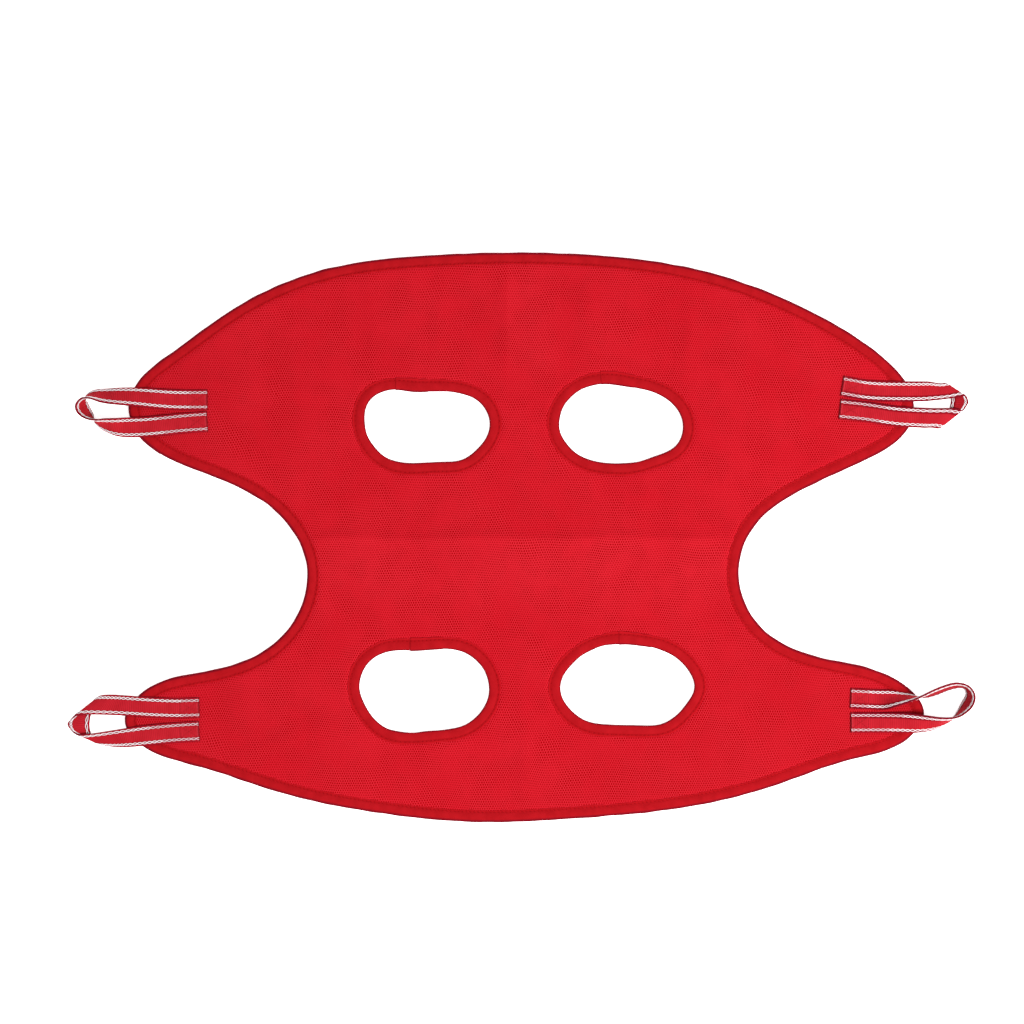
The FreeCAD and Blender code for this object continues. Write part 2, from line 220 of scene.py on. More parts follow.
def cubic(knots, values, at):
    """Smooth curve through values at knots, read at other places."""
    gap = np.diff(knots)
    slope = np.diff(values, axis=0) / gap[:, None]
    system = np.eye(len(knots))
    right = np.zeros_like(values)
    for i in range(1, len(knots) - 1):
        system[i, i - 1:i + 2] = gap[i - 1], 2 * (gap[i - 1] + gap[i]), gap[i]
        right[i] = 6 * (slope[i] - slope[i - 1])
    bend = np.linalg.solve(system, right)
    cell = np.clip(np.searchsorted(knots, at, side="right") - 1, 0, len(gap) - 1)
    b = ((at - knots[cell]) / gap[cell])[:, None]
    a = 1 - b
    curved = (a ** 3 - a) * bend[cell] + (b ** 3 - b) * bend[cell + 1]
    return a * values[cell] + b * values[cell + 1] + curved * (gap[cell] ** 2)[:, None] / 6


def chord_knots(points):
    return np.concatenate([[0.0], np.cumsum(np.linalg.norm(np.diff(points, axis=0), axis=1))])


def between(along, knots, values):
    """Rows of values read off straight between their knots."""
    return np.stack([np.interp(along, knots, column) for column in values.T], axis=-1)


class Outline:
    """A smooth closed edge, anticlockwise, measured along its length."""

    def __init__(self, points):
        ring = np.array(points, float)
        wrapped = np.vstack([ring[-WRAP:], ring, ring[:WRAP + 1]])
        knots = chord_knots(wrapped)
        once_round = np.linspace(knots[WRAP], knots[WRAP + len(ring)], DENSE)
        self.points = cubic(knots, wrapped, once_round)
        self.along = chord_knots(self.points)
        self.length = self.along[-1]
        run = np.gradient(self.points, self.along, axis=0)
        closing = self.points[1] - self.points[-2]
        run[0] = run[-1] = closing / np.linalg.norm(closing)
        self.left = to_left(run)

    def at(self, along):
        """Places on the edge and the directions to its left there."""
        along = np.mod(along, self.length)
        return between(along, self.along, self.points), unit(between(along, self.along, self.left))

    def offset(self, inset, step):
        """Evenly spaced points moved to the left of the edge."""
        place, left = self.at(np.arange(round(self.length / step)) * step)
        return place + left * inset

    def nearest(self, point):
        return self.along[np.argmin(np.linalg.norm(self.points - np.array(point), axis=1))]

    def crossing(self, front):
        """Where the edge crosses X = 0, at its front or at its rear."""
        sign = np.sign(self.points[:, 0])
        for i in np.nonzero(sign[1:] != sign[:-1])[0]:
            if (self.points[i, 1] > 0) == front:
                share = self.points[i, 0] / (self.points[i, 0] - self.points[i + 1, 0])
                return self.along[i] + share * (self.along[i + 1] - self.along[i])


def ripple(along, period, shortest, longest, seed):
    """Uneven wave of about unit height that closes on itself over the period."""
    random = np.random.default_rng(seed)
    first = max(1, round(period / longest))
    last = max(first + 1, round(period / shortest))
    total = np.zeros_like(along)
    counts = np.unique(np.linspace(first, last, RIPPLE_WAVES).astype(int))
    for count in counts:
        total += np.sin(2 * math.pi * count * along / period + random.uniform(0, 2 * math.pi))
    return total / math.sqrt(len(counts))


edge = Outline(PANEL_OUTLINE)
holes = {place: Outline(points) for place, points in LEG_OPENINGS.items()}

# --- making meshes ---

TUBE_SIDES = 6


def make_mesh(name, points, faces, face_cloth, material, sharp_angle=None):
    """A smooth piece; face_cloth gives each face corner its place on the flat cloth."""
    mesh = bpy.data.meshes.new(name)
    mesh.from_pydata((np.asarray(points) * MM).tolist(), [], faces)
    layer = mesh.uv_layers.new(name="cloth")
    layer.data.foreach_set("uv", np.asarray(face_cloth, np.float32).ravel())
    mesh.materials.append(material)
    mesh.polygons.foreach_set("use_smooth", [True] * len(mesh.polygons))
    mesh.update()
    if sharp_angle:
        mesh.set_sharp_from_angle(angle=math.radians(sharp_angle))
    piece = bpy.data.objects.new(name, mesh)
    bpy.context.scene.collection.objects.link(piece)
    return piece


def grid_faces(rows, columns, closed_rows):
    """Quads round a tube of points numbered row by row."""
    r = np.arange(rows if closed_rows else rows - 1)
    r, c = (part.ravel() for part in np.meshgrid(r, np.arange(columns), indexing="ij"))
    up = (r + 1) % rows
    right = (c + 1) % columns
    return np.stack([r * columns + c, r * columns + right, up * columns + right,
                     up * columns + c], axis=1)


def corner_places(quads, columns):
    """Row and column of each corner of the quads, counted on past the joins."""
    r, c = np.divmod(quads[:, 0], columns)
    return np.stack([r, r, r + 1, r + 1], axis=1), np.stack([c, c + 1, c + 1, c], axis=1)


def sweep(points, cloth, closed, flip):
    """Points, faces and cloth places of one tube of sections, closed on itself or capped.

    points is (stations, around, 3). cloth is the same with 2, and has one more station if the tube
    closes, and one more column, so that it never runs backwards. flip turns the faces over.
    """
    if flip:
        points = points[:, ::-1]
        cloth = cloth[:, ::-1]
    rows, columns = points.shape[:2]
    quads = grid_faces(rows, columns, closed)
    face_cloth = cloth[corner_places(quads, columns)].reshape(-1, 2)
    faces = quads.tolist()
    if not closed:
        first = list(range(columns))[::-1]
        last = [(rows - 1) * columns + i for i in range(columns)]
        faces += [first, last]
        face_cloth = np.vstack([face_cloth, cloth[0, :-1][::-1], cloth[-1, :-1]])
    return points.reshape(-1, 3), faces, face_cloth


def tubes(paths, facing, radius, flatten=1.0):
    """Points, faces and cloth places of many rounded threads at once.

    paths is (threads, stations, 3), facing the direction out of the cloth at each, radius one
    number for each station.
    """
    run = unit(np.gradient(paths, axis=1))
    side = unit(np.cross(run, facing))
    out = np.cross(side, run)
    turn = np.arange(TUBE_SIDES) * 2 * math.pi / TUBE_SIDES
    ring = (side[:, :, None] * np.cos(turn)[:, None]
            + out[:, :, None] * (np.sin(turn) * flatten)[:, None])
    threads, stations = paths.shape[:2]
    radius = np.broadcast_to(radius, (threads, stations))
    points = paths[:, :, None] + ring * radius[:, :, None, None]

    quads = grid_faces(stations, TUBE_SIDES, False)
    count = stations * TUBE_SIDES
    all_quads = (quads[None] + (np.arange(threads) * count)[:, None, None]).reshape(-1, 4)
    steps = np.linalg.norm(np.diff(paths, axis=1), axis=2)
    along = np.concatenate([np.zeros((threads, 1)), np.cumsum(steps, axis=1)], axis=1)
    rows, columns = corner_places(quads, TUBE_SIDES)
    around = np.broadcast_to(columns / TUBE_SIDES, (threads,) + columns.shape)
    cloth = np.stack([along[:, rows], around], axis=-1).reshape(-1, 2)

    caps = []
    for base in range(0, threads * count, count):
        caps.append([base + i for i in range(TUBE_SIDES)][::-1])
        caps.append([base + count - TUBE_SIDES + i for i in range(TUBE_SIDES)])
    cap_cloth = np.zeros((len(caps) * TUBE_SIDES, 2))
    return points.reshape(-1, 3), all_quads.tolist() + caps, np.vstack([cloth, cap_cloth])


# --- materials ---

# Colours as they show in the light of the photograph, 8 bits a channel.
CORD_DARK, CORD_BRIGHT, CORD_PAINTED_SHADE = (229, 28, 44), (242, 40, 55), (200, 30, 42)
CORD_FUZZ, CORD_GLINT, PORE_PAINTED_SHADE = (206, 12, 26), (242, 64, 78), (178, 0, 2)
TAPE_DARK, TAPE_BRIGHT, TAPE_FUZZ = (197, 18, 28), (211, 23, 34), (160, 8, 18)
TAPE_LIP_PAINTED_LIGHT, TAPE_SEAM_PAINTED_SHADE, TAPE_PRICK_PAINTED_SHADE, TAPE_FOLD_PAINTED_SHADE = (222, 20, 33), (196, 8, 18), (142, 0, 8), (120, 6, 30)
WEBBING_DARK, WEBBING_BRIGHT, WEBBING_FUZZ = (206, 28, 40), (222, 36, 50), (226, 50, 68)
WEBBING_GROOVE_PAINTED_SHADE, PAINTED_SHADE_BESIDE_YARN, SELVEDGE_PAINTED_SHADE = (150, 12, 28), (140, 6, 26), (112, 8, 34)
CUT_BAND, CUT_END_PAINTED_SHADOW = (232, 78, 90), (104, 2, 12)

# Linear reflectances of the yarn.
YARN_DARK, YARN_BRIGHT = (0.56, 0.51, 0.53, 1), (0.70, 0.66, 0.68, 1)
YARN_STAIN, YARN_SEWN = (0.50, 0.28, 0.33, 1), (0.38, 0.18, 0.21, 1)

LIGHT = 2.2
PORE_WIDE = 1.83
PORE_LONG = 1.84
CREASE_Y = -1.5
CREASE_X = -10.0
SEAM_ON_TAPE = 2.3
FOLD_ON_TAPE = 10.7
TAPE_RIB = 0.55
TAPE_WEFT = 0.4
NEEDLE_PITCH = 3.2
WEBBING_RIB = 1.45
WEBBING_TWILL = 0.7
THREAD_TWIST = 0.5
YARN_TWIST = 0.6
YARN_INSET = 2.35


def colour(rgb):
    """The linear colour that shows as the given 8-bit one in the scene's light."""
    out = []
    for value in rgb:
        value /= 255
        linear = value / 12.92 if value <= 0.04045 else ((value + 0.055) / 1.055) ** 2.4
        out.append(linear / LIGHT)
    return (*out, 1.0)


class Cloth:
    """A procedural fabric, worked out from a piece's places on the flat cloth."""

    def __init__(self, name, roughness, gloss=0.03):
        self.material = bpy.data.materials.new(name)
        self.material.use_nodes = True
        self.tree = self.material.node_tree
        self.shader = self.tree.nodes["Principled BSDF"]
        self.shader.inputs["Roughness"].default_value = roughness
        self.shader.inputs["Specular IOR Level"].default_value = gloss
        place = self.node("ShaderNodeUVMap")
        place.uv_map = "cloth"
        split = self.node("ShaderNodeSeparateXYZ")
        self.link(place.outputs["UV"], split.inputs[0])
        self.place = place.outputs["UV"]
        self.x = split.outputs["X"]
        self.y = split.outputs["Y"]

    def node(self, kind):
        return self.tree.nodes.new(kind)

    def link(self, output, socket):
        self.tree.links.new(output, socket)

    def put(self, value, socket):
        if isinstance(value, bpy.types.NodeSocket):
            self.link(value, socket)
        else:
            socket.default_value = value

    def math(self, operation, *values):
        step = self.node("ShaderNodeMath")
        step.operation = operation
        for value, socket in zip(values, step.inputs):
            self.put(value, socket)
        return step.outputs[0]

    def add(self, first, second):
        return self.math("ADD", first, second)

    def sub(self, first, second):
        return self.math("SUBTRACT", first, second)

    def mul(self, first, second):
        return self.math("MULTIPLY", first, second)

    def size(self, value):
        return self.math("ABSOLUTE", value)

    def length(self, first, second):
        return self.math("SQRT", self.add(self.mul(first, first), self.mul(second, second)))

    def wave(self, place, pitch):
        return self.math("SINE", self.mul(place, 2 * math.pi / pitch))

    def twist(self, pitch):
        """The turns of a twisted thread; y runs once round it."""
        return self.math("SINE", self.add(self.mul(self.x, 2 * math.pi / pitch),
                                          self.mul(self.y, 2 * math.pi)))

    def ramp(self, value, low, high, to_low=0.0, to_high=1.0):
        step = self.node("ShaderNodeMapRange")
        step.interpolation_type = "SMOOTHSTEP"
        for content, name in ((value, "Value"), (low, "From Min"), (high, "From Max"),
                              (to_low, "To Min"), (to_high, "To Max")):
            self.put(content, step.inputs[name])
        return step.outputs["Result"]

    def noise(self, scale, detail):
        """Uneven grey; scale is patches per millimetre."""
        grain = self.node("ShaderNodeTexNoise")
        self.link(self.place, grain.inputs["Vector"])
        grain.inputs["Scale"].default_value = scale
        grain.inputs["Detail"].default_value = detail
        return grain.outputs["Fac"]

    def mix(self, share, first, second):
        step = self.node("ShaderNodeMix")
        step.data_type = "RGBA"
        self.put(share, step.inputs[0])
        self.put(first, step.inputs[6])
        self.put(second, step.inputs[7])
        return step.outputs[2]

    def tint(self, share, shade, rgb):
        return self.mix(share, shade, colour(rgb))

    def patchy(self, scale, dark, bright):
        return self.mix(self.ramp(self.noise(scale, 3.0), 0.3, 0.7), colour(dark), colour(bright))

    def finish(self, shade, height, depth, strength=0.5):
        """Set the colour and the relief; depth is in metres."""
        self.put(shade, self.shader.inputs["Base Color"])
        bump = self.node("ShaderNodeBump")
        bump.inputs["Strength"].default_value = strength
        bump.inputs["Distance"].default_value = depth
        self.link(height, bump.inputs["Height"])
        self.link(bump.outputs["Normal"], self.shader.inputs["Normal"])
        return self.material


def painted_light_beside_crease(cloth, place, line, side, near, far):
    """Share of painted light: 1 just beside a crease, on one side of it, fading out from near to
    far.
    """
    beyond = cloth.mul(cloth.sub(place, line), side)
    return cloth.mul(cloth.ramp(beyond, -1.2, 1.2), cloth.ramp(beyond, near, far, 1.0, 0.0))


def cord_tone_and_painted_light(cloth):
    """How bright the cords are: patchy in tone, and painted brighter on one side of the two main
    creases, standing in for the light on the cloth there.
    """
    patchy = cloth.noise(0.02, 3.0)
    # Painted light: brighter to the rear of the crease across the middle, and to the right of the
    # fold near the front edge.
    lit_rear_of_crease = cloth.mul(painted_light_beside_crease(cloth, cloth.y, CREASE_Y, -1, 26, 75),
                        cloth.ramp(cloth.size(cloth.x), 150, 178, 0.5, 0.0))
    folded = cloth.mul(painted_light_beside_crease(cloth, cloth.x, CREASE_X, 1, 22, 60),
                       cloth.ramp(cloth.y, 112, 150, 0.0, 0.4))
    return cloth.add(cloth.ramp(patchy, 0.3, 0.7, 0.0, 0.55), cloth.add(lit_rear_of_crease, folded))


def air_mesh_material():
    """Knitted spacer mesh: staggered round pores between raised cords, with painted shade in the
    pores and painted glints on the cords.
    """
    cloth = Cloth("air_mesh", 0.8, gloss=0.0)
    bend = cloth.add(cloth.mul(cloth.sub(cloth.noise(0.35, 1.0), 0.5), 0.35),
                     cloth.mul(cloth.sub(cloth.noise(0.02, 1.0), 0.5), 4.0))
    across = cloth.add(cloth.math("DIVIDE", cloth.x, PORE_WIDE), bend)
    along = cloth.add(cloth.math("DIVIDE", cloth.y, PORE_LONG), bend)
    stagger = cloth.mul(cloth.math("FLOORED_MODULO", cloth.math("FLOOR", along), 2.0), 0.5)
    u = cloth.sub(cloth.math("FRACT", cloth.add(across, stagger)), 0.5)
    v = cloth.sub(cloth.math("FRACT", along), 0.5)
    pore = cloth.ramp(cloth.length(u, v), 0.2, 0.45, 1.0, 0.0)
    fuzz = cloth.noise(3.0, 2.0)
    shown = cloth.ramp(cloth.noise(0.045, 2.0), 0.35, 0.65, 0.55, 1.0)

    cord = cloth.mix(cord_tone_and_painted_light(cloth), colour(CORD_DARK), colour(CORD_BRIGHT))
    # Painted shade: the cords darker towards the rear right corner and towards the left end.
    painted_shade_to_corner = cloth.ramp(cloth.sub(cloth.x, cloth.y), 115, 350, 0.0, 0.30)
    painted_shade_to_left_end = cloth.ramp(cloth.mul(cloth.x, -1.0), 205, 290, 0.0, 0.30)
    cord = cloth.tint(cloth.add(painted_shade_to_corner, painted_shade_to_left_end), cord, CORD_PAINTED_SHADE)
    cord = cloth.tint(cloth.mul(fuzz, 0.35), cord, CORD_FUZZ)
    glint = cloth.ramp(cloth.size(u), 0.34, 0.5, 0.0, 0.8)
    cord = cloth.tint(cloth.mul(glint, shown), cord, CORD_GLINT)
    # Painted shade: the pores darkened for the shade inside them.
    shade = cloth.tint(cloth.mul(pore, shown), cord, PORE_PAINTED_SHADE)
    return cloth.finish(shade, cloth.add(cloth.mul(pore, -1.0), cloth.mul(fuzz, 0.25)), 0.0004)


def tape_material():
    """Closely woven binding: ribs across it, a pricked seam with painted shade along it and in the
    needle holes, painted light on the lip and painted shade along the fold.
    """
    cloth = Cloth("binding_tape", 0.75)
    fuzz = cloth.noise(4.0, 2.0)
    shade = cloth.patchy(0.12, TAPE_DARK, TAPE_BRIGHT)
    shade = cloth.tint(cloth.mul(fuzz, 0.3), shade, TAPE_FUZZ)
    # Painted light: the lip painted lighter, against the shade round its rounded edge.
    shade = cloth.tint(cloth.ramp(cloth.y, 1.0, 1.8, 0.5, 0.0), shade, TAPE_LIP_PAINTED_LIGHT)

    from_seam = cloth.sub(cloth.y, SEAM_ON_TAPE)
    stitches = cloth.add(cloth.math("DIVIDE", cloth.x, NEEDLE_PITCH), 0.5)
    from_needle = cloth.mul(NEEDLE_PITCH, cloth.sub(0.5, cloth.math("FRACT", stitches)))
    prick = cloth.length(from_seam, from_needle)
    # Painted shade along the seam groove, and darker dots of painted shade in the needle holes.
    shade = cloth.tint(cloth.ramp(cloth.size(from_seam), 0.4, 1.8, 0.35, 0.0), shade, TAPE_SEAM_PAINTED_SHADE)
    shade = cloth.tint(cloth.ramp(prick, 0.35, 0.95, 0.5, 0.0), shade, TAPE_PRICK_PAINTED_SHADE)
    # Painted shade along the fold, where the tape turns away from the light.
    from_fold = cloth.size(cloth.sub(cloth.y, FOLD_ON_TAPE))
    shade = cloth.tint(cloth.ramp(from_fold, 0.9, 2.1, 0.75, 0.0), shade, TAPE_FOLD_PAINTED_SHADE)
    height = cloth.add(cloth.mul(cloth.wave(cloth.x, TAPE_RIB), 0.3),
                       cloth.add(cloth.mul(cloth.wave(cloth.y, TAPE_WEFT), 0.12),
                                 cloth.mul(fuzz, 0.3)))
    return cloth.finish(shade, height, 0.0002)


def webbing_material():
    """Woven strap: ribs across it and a fine twill, with painted shade in the rib grooves, beside
    the yarn chains and at the selvedges, and a painted shadow at the cut ends; x is the distance
    from the nearer cut end.
    """
    cloth = Cloth("webbing", 0.7)
    half = WEBBING_WIDE / 2
    rib = cloth.wave(cloth.x, WEBBING_RIB)
    twill = cloth.wave(cloth.add(cloth.x, cloth.mul(cloth.y, 0.7)), WEBBING_TWILL)
    shade = cloth.patchy(0.10, WEBBING_DARK, WEBBING_BRIGHT)
    # Painted shade in the grooves between the ribs.
    painted_groove_shade = cloth.ramp(rib, -1.0, -0.1, 1.0, 0.0)
    shade = cloth.tint(cloth.mul(painted_groove_shade, 0.45), shade, WEBBING_GROOVE_PAINTED_SHADE)
    shade = cloth.tint(cloth.mul(cloth.noise(3.0, 2.0), 0.3), shade, WEBBING_FUZZ)
    across = cloth.size(cloth.y)
    # Painted shade in a band under and beside each yarn chain.
    from_yarn = cloth.size(cloth.sub(across, half - YARN_INSET))
    shade = cloth.tint(cloth.ramp(from_yarn, 0.9, 1.7, 0.75, 0.0), shade, PAINTED_SHADE_BESIDE_YARN)
    # Painted shade at the rounded selvedges, where the strap turns away from the light.
    shade = cloth.tint(cloth.ramp(across, half - 0.9, half - 0.2, 0.0, 0.8), shade, SELVEDGE_PAINTED_SHADE)
    shade = cloth.tint(cloth.ramp(cloth.x, 1.2, 2.4, 0.4, 0.0), shade, CUT_BAND)
    # Painted shadow: a dark line at each cut end.
    shade = cloth.tint(cloth.ramp(cloth.x, 0.4, 1.0, 0.85, 0.0), shade, CUT_END_PAINTED_SHADOW)
    height = cloth.add(cloth.mul(rib, 0.5), cloth.mul(twill, 0.25))
    return cloth.finish(shade, height, 0.00025, 0.6)


def thread_material(name, dark, bright):
    """Twisted polyester sewing thread."""
    cloth = Cloth(name, 0.65)
    twist = cloth.twist(THREAD_TWIST)
    shade = cloth.mix(cloth.ramp(twist, -1.0, 1.0), colour(dark), colour(bright))
    return cloth.finish(shade, twist, 0.0001)


def yarn_material():
    """White reflective yarn, redder in patches and where it is sewn down."""
    cloth = Cloth("reflective_yarn", 0.5)
    twist = cloth.twist(YARN_TWIST)
    stained = cloth.ramp(cloth.noise(0.5, 2.0), 0.6, 0.85, 0.0, 0.35)
    sewn = cloth.ramp(cloth.x, SEWN_LONG - 1.5, SEWN_LONG + 0.5, 0.5, 0.0)
    shade = cloth.mix(cloth.ramp(twist, -1.0, 1.0), YARN_DARK, YARN_BRIGHT)
    shade = cloth.mix(stained, shade, YARN_STAIN)
    shade = cloth.mix(sewn, shade, YARN_SEWN)
    return cloth.finish(shade, twist, 0.0001, 0.4)


AIR_MESH = air_mesh_material()
TAPE = tape_material()
WEBBING = webbing_material()
THREAD = thread_material("seam_thread", dark=(192, 14, 24), bright=(224, 26, 38))
BOX_THREAD = thread_material("box_thread", dark=(204, 30, 42), bright=(220, 40, 54))
YARN = yarn_material()

# --- pieces across the folds between the middle and the wings: placement baked in, no bending ---


def fold_blend(piece):
    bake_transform(piece)


# --- the mesh panel ---

RIM_INSET = 0.6
RIM_STEP = 1.5
RING_INSETS = (4.0, 8.8, 9.6, 10.6, 12.4, 15.0)
RING_STEP = 2.2
RING_SLACK = 0.25
FIELD_STEP = 3.2
FIELD_ROW = 0.866
FIELD_HALF_WIDE = 320
FIELD_HALF_DEEP = 224
MIDDLE_STEP = 1.6
MIDDLE_GAP = 0.8
EDGE_SAMPLE = 0.8
WRONG_SIDE = 1000
GRIP_START = 8.9
GRIP_FADE = 1.8
PUFF = 0.30
PUFF_INSET = 13.0
PUFF_WIDE = 3.2


def edge_tree():
    """For finding how far a place is from the nearest bound edge."""
    samples = np.vstack([outline.offset(0, EDGE_SAMPLE) for outline in [edge, *holes.values()]])
    tree = kdtree.KDTree(len(samples))
    for i, (x, y) in enumerate(samples):
        tree.insert((x, y, 0), i)
    tree.balance()
    return tree


def inside(points, ring):
    """Which points lie inside a closed ring."""
    x, y = points[:, 0], points[:, 1]
    found = np.zeros(len(points), bool)
    for (x1, y1), (x2, y2) in zip(ring, np.roll(ring, -1, axis=0)):
        if y1 != y2:
            found ^= ((y1 > y) != (y2 > y)) & (x < (x2 - x1) * (y - y1) / (y2 - y1) + x1)
    return found


def on_cloth(points, outer, inner):
    """Which points lie inside the outer ring and outside all the inner ones."""
    found = inside(points, outer)
    for ring in inner:
        found &= ~inside(points, ring)
    return found


def loose_points(tree):
    """Points of the flat panel off its rims: rings along the edges, then an even field."""
    loose = []
    for inset in RING_INSETS:
        rings = [edge.offset(inset, RING_STEP)]
        rings += [hole.offset(-inset, RING_STEP) for hole in holes.values()]
        for point in np.vstack(rings):
            gap = tree.find((*point, 0))[2]
            if gap > inset - RING_SLACK and abs(point[0]) > MIDDLE_GAP:
                loose.append(point)
    field_inset = RING_INSETS[-1] + FIELD_STEP * 0.6
    rows = np.arange(-FIELD_HALF_DEEP, FIELD_HALF_DEEP, FIELD_STEP * FIELD_ROW)
    for number, y in enumerate(rows):
        first = -FIELD_HALF_WIDE + (number % 2) * FIELD_STEP / 2
        for x in np.arange(first, FIELD_HALF_WIDE, FIELD_STEP):
            if abs(x) > FIELD_STEP * 0.45 and tree.find((x, y, 0))[2] > field_inset:
                loose.append((x, y))
    return np.array(loose)


def panel_layout():
    """Points of the flat panel with their distance from the edge, and its triangles."""
    outer = edge.offset(RIM_INSET, RIM_STEP)
    inner = [hole.offset(-RIM_INSET, RIM_STEP) for hole in holes.values()]
    tree = edge_tree()
    off_middle = np.abs(outer[:, 0])
    start = np.argmin(off_middle + WRONG_SIDE * (outer[:, 1] < 0))
    stop = np.argmin(off_middle + WRONG_SIDE * (outer[:, 1] > 0))
    outer[[start, stop], 0] = 0.0
    front, rear = outer[start, 1], outer[stop, 1]
    middle = np.linspace(front, rear, round((front - rear) / MIDDLE_STEP))[1:-1]
    loose = loose_points(tree)
    loose = loose[on_cloth(loose, outer, inner)]

    points = []
    joins = []
    for ring in [outer, *inner]:
        base = len(points)
        points += [tuple(point) for point in ring]
        joins += [(base + i, base + (i + 1) % len(ring)) for i in range(len(ring))]
    chain = [int(start), *range(len(points), len(points) + len(middle)), int(stop)]
    points += [(0.0, y) for y in middle]
    joins += list(zip(chain, chain[1:]))
    points += [tuple(point) for point in loose]

    flat, _, triangles, _, _, _ = delaunay_2d_cdt(points, joins, [], 0, 1e-4)
    flat = np.array([tuple(point) for point in flat])
    triangles = np.array(triangles)
    triangles = triangles[on_cloth(flat[triangles].mean(axis=1), outer, inner)]
    from_edge = np.array([tree.find((x, y, 0))[2] for x, y in flat])
    return flat, triangles, from_edge


def panel_heights(flat, from_edge):
    """Lower and upper side of the cloth: pinched inside the tape, puffed a little beside it."""
    grip = 1 - smooth_step((from_edge - GRIP_START) / GRIP_FADE)
    puff = PUFF * np.exp(-((from_edge - PUFF_INSET) / PUFF_WIDE) ** 2) * (1 - grip)
    base = lie(flat)
    low = base + TAPE_THICK * grip
    high = base + MESH_THICK - (MESH_THICK - TAPE_THICK - PINCHED_THICK) * grip + puff
    return low, high


def build_panel():
    """The cloth in two halves that meet at X = 0."""
    flat, triangles, from_edge = panel_layout()
    low, high = panel_heights(flat, from_edge)
    for place, side in (("left", -1), ("right", 1)):
        mine = triangles[flat[triangles].mean(axis=1)[:, 0] * side > 0]
        used, numbers = np.unique(mine, return_inverse=True)
        numbers = numbers.reshape(mine.shape)
        spot = flat[used]
        count = len(used)
        corners = flat[mine]
        twice_area = np.cross(corners[:, 1] - corners[:, 0], corners[:, 2] - corners[:, 0])
        turned = twice_area < 0
        numbers[turned] = numbers[turned][:, ::-1]
        points = np.vstack([np.column_stack([spot, high[used]]),
                            np.column_stack([spot, low[used]])])
        sides = {pair: True for a, b, c in numbers.tolist() for pair in ((a, b), (b, c), (c, a))}
        walls = [[b, a, a + count, b + count] for a, b in sides if (b, a) not in sides]
        faces = numbers.tolist() + (numbers[:, ::-1] + count).tolist() + walls
        order = [i for face in faces for i in face]
        cloth = np.vstack([spot, spot])[order]
        piece = make_mesh(f"mesh_{place}_half", points, faces, cloth, AIR_MESH, sharp_angle=50)
        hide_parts("panel_centre", f"panel_{place}_wing")
        fold_blend(piece)


# --- bindings ---

# The folded tape cut across: distance in from the bound edge, and height.
UPPER_TAPE = [
    (9.45, 2.42), (9.52, 2.64), (9.4, 2.82), (9.1, 2.9), (8.6, 2.88), (8.1, 2.74), (7.6, 2.56),
    (7.1, 2.7), (6.2, 2.96), (4.8, 3.14), (3.4, 3.18), (2.0, 3.02), (1.0, 2.7), (0.35, 2.24),
    (0.05, 1.82),
]
TAPE_MIDDLE = 1.45
LOWER_TAPE = [
    (0.05, 1.08), (0.3, 0.66), (0.8, 0.3), (1.7, 0.1), (3.0, 0.0), (4.6, -0.02), (6.2, 0.0),
    (7.1, 0.06), (7.6, 0.16), (8.1, 0.06), (8.6, 0.0), (9.1, 0.0), (9.42, 0.08), (9.52, 0.26),
    (9.45, 0.48),
]
TAPE_LINING = [
    (8.0, 0.5), (3.0, 0.5), (0.9, 0.62), (0.55, 1.1), (0.5, 1.45), (0.55, 1.8), (0.9, 2.28),
    (3.0, 2.4), (8.0, 2.4),
]
TAPE_SECTION = np.array(UPPER_TAPE + [(0.0, TAPE_MIDDLE)] + LOWER_TAPE + TAPE_LINING)
SHOWN_TAPE = len(UPPER_TAPE) + 1 + len(LOWER_TAPE)
TAPE_STEP = 1.6
SEAM_TOP = 2.58
SEAM_BOTTOM = 0.16
LAP_LONG = 24.0
LAP_EDGE = 0.5
LAP_FADE = 2.5
LAP_STATIONS = np.linspace(-0.9, 0.4, 7)
LAP_RISE = 0.5
LAP_DROP = 0.15
LAP_LIP = 0.35
LAP_FOLD = 0.4
PUCKER_WAVES = (5, 13)
SLOW_WAVES = (18, 60)
LIP_PUCKER = 0.22
LIP_SLOW = 0.3
LIP_LIFT = 0.06
FOLD_SLOW = 0.14
BELLY_PUCKER = 0.10
BELLY_SLOW = 0.06

# A place near the end of each tape, where it laps over its start.
LAPS = {
    "front_left": (-98.4, 116), "front_right": (64.0, 120), "rear_left": (-87.0, -90),
    "rear_right": (78.0, -85), "edge": (-284.4, 64.4),
}


